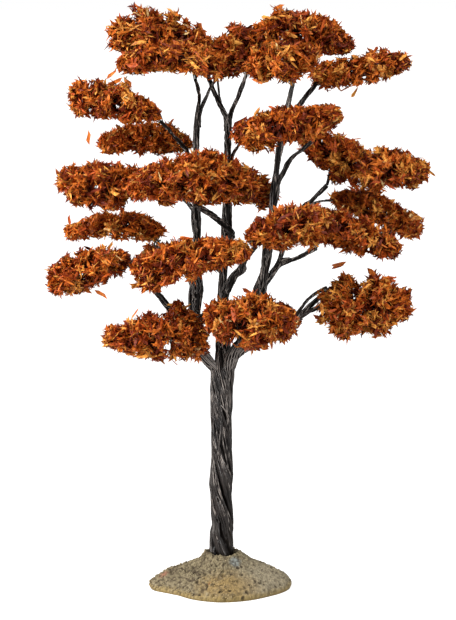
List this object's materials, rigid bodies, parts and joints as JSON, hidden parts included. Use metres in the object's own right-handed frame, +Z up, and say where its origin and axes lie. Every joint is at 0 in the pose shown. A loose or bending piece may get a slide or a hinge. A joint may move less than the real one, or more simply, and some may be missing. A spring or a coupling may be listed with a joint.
{
  "type": "artificial model tree",
  "caption": "Scale-model autumn tree: a trunk and boughs of twisted black wire carrying sleeves of glued orange-brown wood chips, on a small cast sandy mound.",
  "frame": {"origin": "middle of the mound's flat underside, under the trunk's axis", "axes": "+Z up along the trunk, +X to the tree's right as seen from its front, +Y to its back"},
  "size_m": [0.1482, 0.0916, 0.2299],
  "materials": {
    "wire": "black coated wire, satin, twisted like rope with fine strand grooves",
    "chips": "dyed wood chips, matt, orange-brown with golden and dark red-brown ones among them",
    "mound": "cast resin and sand, matt, grey-beige with small dark pits and ochre patches"
  },
  "bodies": {
    "root": {"bough_back_bottom": "wire", "bough_back_centre": "wire", "bough_back_high": "wire", "bough_back_low": "wire", "bough_back_right": "wire", "bough_back_top": "wire", "bough_big_left": "wire", "bough_big_right": "wire", "bough_bottom_front": "wire", "bough_bottom_right": "wire", "bough_bottom_right_fork": "wire", "bough_centre": "wire", "bough_cross_right": "wire", "bough_far_left": "wire", "bough_front_left": "wire", "bough_front_right": "wire", "bough_high_front": "wire", "bough_high_left": "wire", "bough_high_right": "wire", "bough_low_left": "wire", "bough_mid_left": "wire", "bough_mid_right": "wire", "bough_rear_right": "wire", "bough_top_left": "wire", "bough_top_left_lower": "wire", "bough_top_middle": "wire", "bough_top_right": "wire", "foliage_back_bottom": "chips", "foliage_back_centre": "chips", "foliage_back_high": "chips", "foliage_back_low": "chips", "foliage_back_right": "chips", "foliage_back_top": "chips", "foliage_big_left": "chips", "foliage_big_right": "chips", "foliage_bottom_front": "chips", "foliage_bottom_left": "chips", "foliage_bottom_right": "chips", "foliage_centre": "chips", "foliage_front_left": "chips", "foliage_front_right": "chips", "foliage_high_front": "chips", "foliage_high_left": "chips", "foliage_high_right": "chips", "foliage_low_left": "chips", "foliage_mid_left": "chips", "foliage_mid_right": "chips", "foliage_rear_left": "chips", "foliage_rear_right": "chips", "foliage_top_front": "chips", "foliage_top_left": "chips", "foliage_top_left_lower": "chips", "foliage_top_middle": "chips", "foliage_top_right": "chips", "left_leader": "wire", "middle_leader": "wire", "mound_base": "mound", "right_leader": "wire", "trunk": "wire"}
  },
  "joints": []
}
